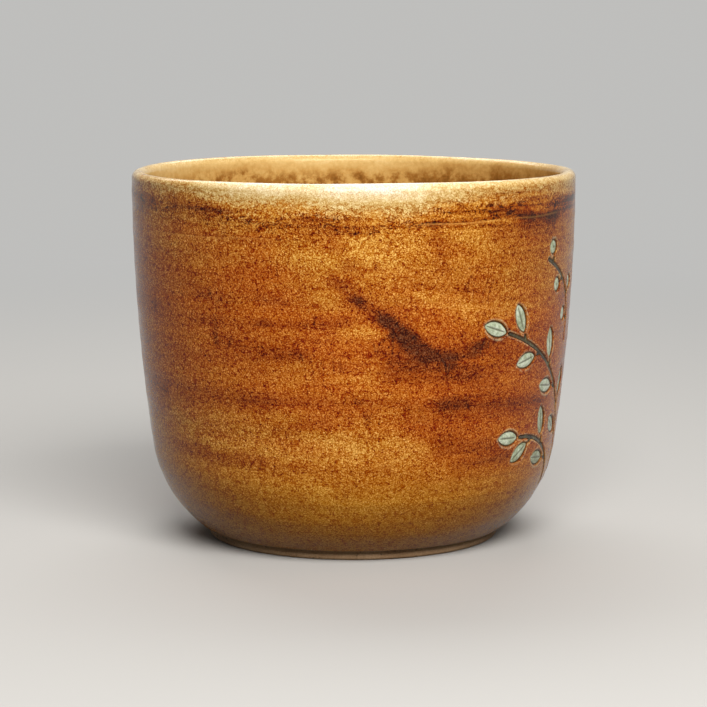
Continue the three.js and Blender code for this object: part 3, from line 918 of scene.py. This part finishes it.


# amber glaze: gold with brown specks, dark where thick, honey low down, pale where it breaks over the lip and,
# lowest at the front, partly a painted highlight
amberTones = {
    "rust": [(0.0, (0.050, 0.007, 0.0015)), (0.18, (0.15, 0.019, 0.0006)), (0.34, (0.29, 0.044, 0.0006)),
             (0.5, (0.41, 0.080, 0.002)), (0.66, (0.53, 0.135, 0.006)), (0.82, (0.64, 0.20, 0.015)),
             (1.0, (0.74, 0.29, 0.03))],
    "gold": [(0.0, (0.052, 0.008, 0.0015)), (0.18, (0.155, 0.023, 0.0008)), (0.34, (0.30, 0.062, 0.0015)),
             (0.5, (0.425, 0.126, 0.006)), (0.66, (0.545, 0.21, 0.019)), (0.82, (0.65, 0.30, 0.042)),
             (1.0, (0.75, 0.40, 0.08))],
    "honey": [(0.0, (0.12, 0.022, 0.0006)), (0.25, (0.28, 0.074, 0.002)), (0.5, (0.45, 0.155, 0.007)),
              (0.75, (0.60, 0.26, 0.022)), (1.0, (0.72, 0.37, 0.055))],
    "pale": [(0.0, (0.22, 0.06, 0.004)), (0.3, (0.47, 0.22, 0.040)), (0.55, (0.665, 0.44, 0.155)),
             (0.8, (0.83, 0.64, 0.35)), (1.0, (0.90, 0.79, 0.61))],
    "line": (0.032, 0.02, 0.005),
    "burr": (0.68, 0.55, 0.31),
    "hair": (0.70, 0.36, 0.08),
    "speckle": (0.58, 0.83, 0.85),
}
grainSize = 0.275 * mm
amberNoise = {
    "grain": {"scale": 1 / grainSize, "detail": 1.5, "rough": 0.6, "curl": 0.8},
    "coarse": {"scale": 0.36 / grainSize, "detail": 1, "stretch": (0.6, 0.6, 1), "shift": (0.3, 0.1, 0.2),
               "curl": 0.6},
    "worms": {"scale": 950, "detail": 0, "stretch": (0.8, 0.8, 1), "shift": (0.8, 1.1, 0.6), "curl": 1.2},
    "curls": {"scale": 540, "detail": 0, "stretch": (0.8, 0.8, 1.3), "shift": (0.2, 1.4, 0.9), "curl": 1.4},
    "patches": {"scale": 240, "detail": 3, "rough": 0.55, "stretch": (0.4, 0.4, 1), "shift": (1.3, 0.2, 0.7)},
    "drifts": {"scale": 55, "stretch": (0.7, 0.7, 1.5), "shift": (0.2, 0.9, 0.4)},
    "bands": {"scale": 230, "detail": 3, "rough": 0.6, "stretch": (0.09, 0.09, 1), "shift": (0.4, 0.4, 0.1)},
    "streaks": {"scale": 900, "stretch": (0.05, 0.05, 1), "shift": (0.6, 0.3, 1.7)},
    "slants": {"scale": 520, "detail": 0, "rough": 0.4, "stretch": (1, 1, 0.2), "turn": (0.0, 0.62, 0.0),
               "curl": 0.3},
    "places": {"scale": 130, "shift": (2.1, 0.3, 1.1)},
}
# how much of each noise goes into each value
amberWeights = {
    "speck": {"grain": 3.6, "coarse": 0.4},
    "glow": {"patches": 0.17, "drifts": 0.18, "bands": 0.15, "streaks": 0.16},
    "broken": {"grain": 1.6, "patches": 0.8},
    "warm": {"patches": 1.1, "bands": 0.7, "drifts": 0.6},
    "belly": {"patches": 0.010, "grain": 0.008},
    "pale": {"grain": 4.0, "coarse": 2.5, "patches": 5.0, "drifts": 2.0},
    "paleGlow": {"grain": 0.3, "coarse": 0.3, "patches": 0.4, "streaks": 0.3},
    "burr": {"grain": 1.0, "coarse": 1.0, "patches": 1.0},
    "relief": {"grain": 0.2},
}
# from and to, and what they become; heights and sides in metres, places at the lip in mm over its edge
amberRanges = {
    "bellySpecks": (0.012, 0.028, 0.8, 1.0),
    "leftSpecks": (-0.04, -0.01, 1.2, 1.0),
    "slantPlaces": (0.56, 0.66),
    "nearLip": (-9.0, -3.0, 0.12, 1.0),
    "overLip": (3.0, 0.0),
    "rightSide": (0.008, 0.03),
    "curlPlaces": (0.40, 0.58, 0.35, 1.0),
    "rising": (-2.5, 0.5),
    "warm": (0.0, 1.0),
    "belly": (0.027, 0.011),
    "pale": (-2.0, 1.6),
    "paleCurls": (0.8, 3.0, 0.3, 0.0),
    "paleSpecks": (0.0, 3.5, 0.27, 0.17),
    "burr": (0.2, 0.8, 0.0, 0.75),
    "rough": (0.3, 0.7, 0.16, 0.26),
}
amber = {
    "lineWidth": {"worms": 0.10, "curls": 0.10, "slants": 0.06},
    "shade": {"worms": 0.58, "curls": 0.42, "slants": 0.18, "tone": 0.36},
    "start": {"speck": 0.13, "glow": 0.53, "broken": 1.0, "streaks": 0.5, "pale": 0.50, "burr": 0.5},
    "speckGlow": 0.26,
    "streaksRight": 0.8,
    "smootherRight": 0.4,
    "risingGlow": 0.28,
    "toneRust": 0.3,
    "paleClimb": (0.009, 0.04),  # times the square of the height over the edge, and times the height
    "hairShare": 0.6,
    "lineShare": 0.94,
    "paleGloss": 0.07,
    "bump": (0.1, 0.4 * mm),
}


def amberGlaze(name, overLip):
    # brightness is a sum of noises less the dark strokes and lines; ramps make it rust, gold, honey or cream
    material, tree, shader = newMaterial(name)
    fields = noiseFields(tree, amberNoise)
    shade, start = amber["shade"], amber["start"]

    def summed(first, kind):
        return addUp(tree, first, fields, amberWeights[kind])

    def within(value, kind):
        return spread(tree, value, *amberRanges[kind])

    def lines(kind):
        return threads(tree, fields[kind], amber["lineWidth"][kind])

    height, across = placeOn(tree, "Z"), placeOn(tree, "X")
    tone, over = meshValue(tree, "tone"), meshValue(tree, "lip")
    curls = lines("curls")
    # fine specks with dark threads between them, calmer at the belly
    speck = minus(tree, summed(start["speck"], "speck"), times(tree, lines("worms"), shade["worms"]))
    calm = times(tree, within(height, "bellySpecks"), within(across, "leftSpecks"))
    speck = times(tree, speck, calm)
    glow = summed(plus(tree, start["glow"], times(tree, speck, amber["speckGlow"])), "glow")
    # the tone darkens with the strokes and with the painted shadow above each scratched line
    glow = minus(tree, glow, times(tree, tone, summed(start["broken"], "broken"), shade["tone"]))
    # short slanting scratches here and there
    slants = times(tree, lines("slants"), within(fields["places"], "slantPlaces"), shade["slants"])
    glow = minus(tree, glow, slants)
    # streaks and curled dark lines, mostly just under the pale lip; more streaks and less grain at the right
    near = times(tree, within(over, "nearLip"), within(over, "overLip"))
    right = within(across, "rightSide")
    streaked = plus(tree, start["streaks"], times(tree, right, amber["streaksRight"]))
    glow = addUp(tree, glow, fields, {"streaks": times(tree, near, streaked)})
    speck = times(tree, speck, minus(tree, 1.0, times(tree, near, right, amber["smootherRight"])))
    near = times(tree, near, within(fields["patches"], "curlPlaces"))
    glow = minus(tree, glow, times(tree, curls, near, shade["curls"]))
    # brighter and more golden towards the lip, rust where the glaze lies thick, honey at the belly
    rising = within(over, "rising")
    glow = plus(tree, glow, times(tree, rising, amber["risingGlow"]))
    warm = plus(tree, summed(meshValue(tree, "gold"), "warm"), rising)
    warm = minus(tree, warm, times(tree, tone, amber["toneRust"]))
    colour = mixColour(tree, within(warm, "warm"), ramp(tree, glow, amberTones["rust"]),
                       ramp(tree, glow, amberTones["gold"]))
    low = within(summed(height, "belly"), "belly")
    colour = mixColour(tree, low, colour, ramp(tree, glow, amberTones["honey"]))
    # the pale lip starts as specks between the brown ones and closes up towards the top; at the front it is
    # partly a painted highlight
    pale = within(summed(over, "pale"), "pale")
    steep, gentle = amber["paleClimb"]
    climb = plus(tree, times(tree, over, over, steep), times(tree, over, gentle))
    paleGlow = summed(plus(tree, climb, start["pale"]), "paleGlow")
    paleGlow = minus(tree, paleGlow, times(tree, curls, within(over, "paleCurls")))
    colour = mixColour(tree, pale, colour, ramp(tree, paleGlow, amberTones["pale"]))
    speck = times(tree, speck, within(over, "paleSpecks"))
    colour = speckled(tree, colour, speck, amberTones["speckle"])
    # scratched lines, and either the liner's colour inside the lip or the edges of the carving
    hairShare = times(tree, meshValue(tree, "hair"), amber["hairShare"])
    colour = mixColour(tree, hairShare, colour, amberTones["hair"])
    if overLip:
        colour = mixColour(tree, meshValue(tree, "inner"), colour, linerColour(tree))
    else:
        burrShare = times(tree, meshValue(tree, "burr"), within(summed(start["burr"], "burr"), "burr"))
        colour = mixColour(tree, burrShare, colour, amberTones["burr"])
        lineShare = times(tree, meshValue(tree, "line"), amber["lineShare"])
        colour = mixColour(tree, lineShare, colour, amberTones["line"])
    feed(tree, shader.inputs["Base Color"], colour)
    rough = minus(tree, within(fields["patches"], "rough"), times(tree, pale, amber["paleGloss"]))
    feed(tree, shader.inputs["Roughness"], rough)
    glossy(shader)
    bump(tree, shader, summed(fields["patches"], "relief"), *amber["bump"])
    return material


# bare clay: warm stoneware with iron specks and fine grit
clayNoise = {
    "grit": {"scale": 2600, "detail": 3, "rough": 0.7},
    "clouds": {"scale": 110, "detail": 3},
    "iron": {"scale": 900, "detail": 1, "rough": 0.4, "shift": (0.5, 0.5, 0.2)},
}
clayTones = {
    "ramp": [(0.3, (0.22, 0.12, 0.055)), (0.5, (0.36, 0.215, 0.11)), (0.7, (0.5, 0.33, 0.19))],
    "start": 0.5,
    "weights": {"grit": 0.6, "clouds": 0.6},
    "iron": (0.07, 0.035, 0.015),
    "ironRange": (0.68, 0.74, 0.0, 0.8),
    "roughness": 0.82,
    "bump": (0.5, 0.12 * mm),
}


def bareClay():
    material, tree, shader = newMaterial("bareClay", clayTones["roughness"])
    fields = noiseFields(tree, clayNoise)
    colour = ramp(tree, addUp(tree, clayTones["start"], fields, clayTones["weights"]), clayTones["ramp"])
    iron = spread(tree, fields["iron"], *clayTones["ironRange"])
    feed(tree, shader.inputs["Base Color"], mixColour(tree, iron, colour, clayTones["iron"]))
    bump(tree, shader, fields["grit"], *clayTones["bump"])
    return material


# pale green pooled glaze: milky in the middle, olive where it is thin and along the veins
poolNoise = {
    "clouds": {"scale": 700, "detail": 3, "rough": 0.6},
    "specks": {"scale": 2400, "rough": 0.6, "shift": (0.4, 0.8, 0.1)},
    "depth": {"scale": 120, "detail": 1, "shift": (0.6, 0.9, 0.2)},
}
poolTones = {
    "milk": [(0.3, (0.30, 0.34, 0.20)), (0.5, (0.52, 0.60, 0.42)), (0.7, (0.74, 0.80, 0.64))],
    "start": 0.53,
    "weights": {"clouds": 0.9, "specks": 0.5, "depth": 0.8},
    "thin": (0.13, 0.11, 0.04),
    "thinWeights": {"clouds": 0.6},
    "thinRange": (0.62, 1.05),
    "vein": (0.06, 0.05, 0.016),
    "veinShare": 0.85,
    "roughness": 0.14,
}


def greenPool():
    material, tree, shader = newMaterial("greenPool", poolTones["roughness"])
    fields = noiseFields(tree, poolNoise)
    milk = ramp(tree, addUp(tree, poolTones["start"], fields, poolTones["weights"]), poolTones["milk"])
    thin = addUp(tree, meshValue(tree, "thin"), fields, poolTones["thinWeights"])
    colour = mixColour(tree, spread(tree, thin, *poolTones["thinRange"]), milk, poolTones["thin"])
    veinShare = times(tree, meshValue(tree, "vein"), poolTones["veinShare"])
    feed(tree, shader.inputs["Base Color"], mixColour(tree, veinShare, colour, poolTones["vein"]))
    return material


# dark slip in the stem lines, greenish where glaze has pooled on it
slipTones = {
    "ramp": [(0.35, (0.03, 0.02, 0.006)), (0.55, (0.075, 0.055, 0.018)), (0.7, (0.2, 0.19, 0.09))],
    "clouds": {"scale": 520, "detail": 3, "rough": 0.6},
    "roughness": 0.25,
}


def darkSlip():
    material, tree, shader = newMaterial("darkSlip", slipTones["roughness"])
    feed(tree, shader.inputs["Base Color"], ramp(tree, noise(tree, **slipTones["clouds"]), slipTones["ramp"]))
    return material


def finishPiece(piece, material, node):
    # material, body, slot and the solid whose place the piece takes
    piece.data.materials.append(material)
    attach(piece, "root")
    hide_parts(node)


finishPiece(outerPiece, amberGlaze("amberGlaze", False), "outer_glaze")
finishPiece(rimPiece, amberGlaze("amberLipGlaze", True), "rim_glaze")
finishPiece(linerPiece, honeyLiner(), "liner_glaze")
finishPiece(clayPiece, bareClay(), "clay_body")
slipMaterial, poolMaterial = darkSlip(), greenPool()
for stemName, piece in stemPieces.items():
    finishPiece(piece, slipMaterial, "stem_inlay_" + stemName)
for number, piece in enumerate(leafPieces, 1):
    finishPiece(piece, poolMaterial, "leaf_pool_%02d" % number)
for number, piece in enumerate(berryPieces, 1):
    finishPiece(piece, poolMaterial, "berry_pool_%02d" % number)
print("materials given")

# floor and room: pale where they are seen or mirrored, darker for the light they give back, so that the glaze
# keeps its depth; the floor fades into the backdrop
studio = {"floorSize": 40.0, "floorColour": (0.52, 0.515, 0.50), "floorShade": (0.12, 0.11, 0.09),
          "floorRoughness": 0.9, "backdrop": (0.52, 0.517, 0.505), "fade": (0.15, 0.6),
          "roomLight": (0.10, 0.10, 0.10)}
reach = studio["floorSize"]
corners = np.array([[-reach, -reach, 0], [reach, -reach, 0], [reach, reach, 0], [-reach, reach, 0]])
floor = putMesh("floor", corners, [np.array([[0, 1, 2, 3]])])
floorMaterial, tree, shader = newMaterial("paleFloor", studio["floorRoughness"])
shader.inputs["Specular IOR Level"].default_value = 0.0
seen = seenDirectly(tree)
feed(tree, shader.inputs["Base Color"], mixColour(tree, seen, studio["floorShade"], studio["floorColour"]))
distance = addNode(tree, "VectorMath", {0: ownPlace(tree)}, operation="LENGTH").outputs["Value"]
farAway = times(tree, seen, spread(tree, distance, *studio["fade"]))
glowing = addNode(tree, "Emission", {"Color": (*studio["backdrop"], 1)})
fadeOut = addNode(tree, "MixShader", {0: farAway, 1: shader.outputs[0], 2: glowing.outputs[0]})
feed(tree, next(n for n in tree.nodes if n.type == "OUTPUT_MATERIAL").inputs[0], fadeOut.outputs[0])
floor.data.materials.append(floorMaterial)

world = bpy.data.worlds.new("softRoom")
bpy.context.scene.world = world
world.use_nodes = True
tree = world.node_tree
background = next(n for n in tree.nodes if n.type == "BACKGROUND")
roomColour = mixColour(tree, seenDirectly(tree), studio["roomLight"], studio["backdrop"])
feed(tree, background.inputs["Color"], roomColour)
background.inputs["Strength"].default_value = 1.0

# angles from the front and up, distance, height of the point they face, width and height, watts
lamps = {
    "frontBox": {"angle": 13, "rise": 40, "distance": 0.8, "aimHeight": 0.045, "size": (0.6, 0.4),
                 "watts": 9.2, "colour": (1.0, 0.975, 0.94)},
    "backBox": {"angle": 190, "rise": 50, "distance": 0.8, "aimHeight": 0.045, "size": (0.7, 0.5),
                "watts": 4.2, "colour": (1.0, 0.98, 0.96)},
}


def addLamp(name, angle, rise, distance, aimHeight, size, watts, colour):
    # a soft box on a ball round the mug, facing its middle
    light = bpy.data.lights.new(name, "AREA")
    light.shape = "RECTANGLE"
    light.size, light.size_y = size
    light.energy = watts
    light.color = colour
    lamp = bpy.data.objects.new(name, light)
    turn, lift = math.radians(angle), math.radians(rise)
    lamp.location = (distance * math.cos(lift) * math.sin(turn), -distance * math.cos(lift) * math.cos(turn),
                     aimHeight + distance * math.sin(lift))
    lamp.rotation_euler = (math.pi / 2 - lift, 0, turn)
    lamp.visible_camera = False
    bpy.context.scene.collection.objects.link(lamp)


for lampName, settings in lamps.items():
    addLamp(lampName, **settings)

# distance from the axis, height over the lip, downward tilt, focal length in picture widths
view = {"distance": 0.58, "overLip": 39.7 * mm, "tilt": 0.1402, "focal": 2569.7 / 707, "sensor": 36.0,
        "clip": (0.01, 200.0)}
cameraData = bpy.data.cameras.new("camera")
cameraData.sensor_width = view["sensor"]
cameraData.lens = view["sensor"] * view["focal"]
cameraData.clip_start, cameraData.clip_end = view["clip"]
camera = bpy.data.objects.new("camera", cameraData)
camera.location = (0, -view["distance"], pot["height"] + view["overLip"])
camera.rotation_euler = (math.pi / 2 - view["tilt"], 0, 0)
bpy.context.scene.collection.objects.link(camera)
bpy.context.scene.camera = camera
bpy.context.scene.view_settings.view_transform = "Standard"
print("stage set")
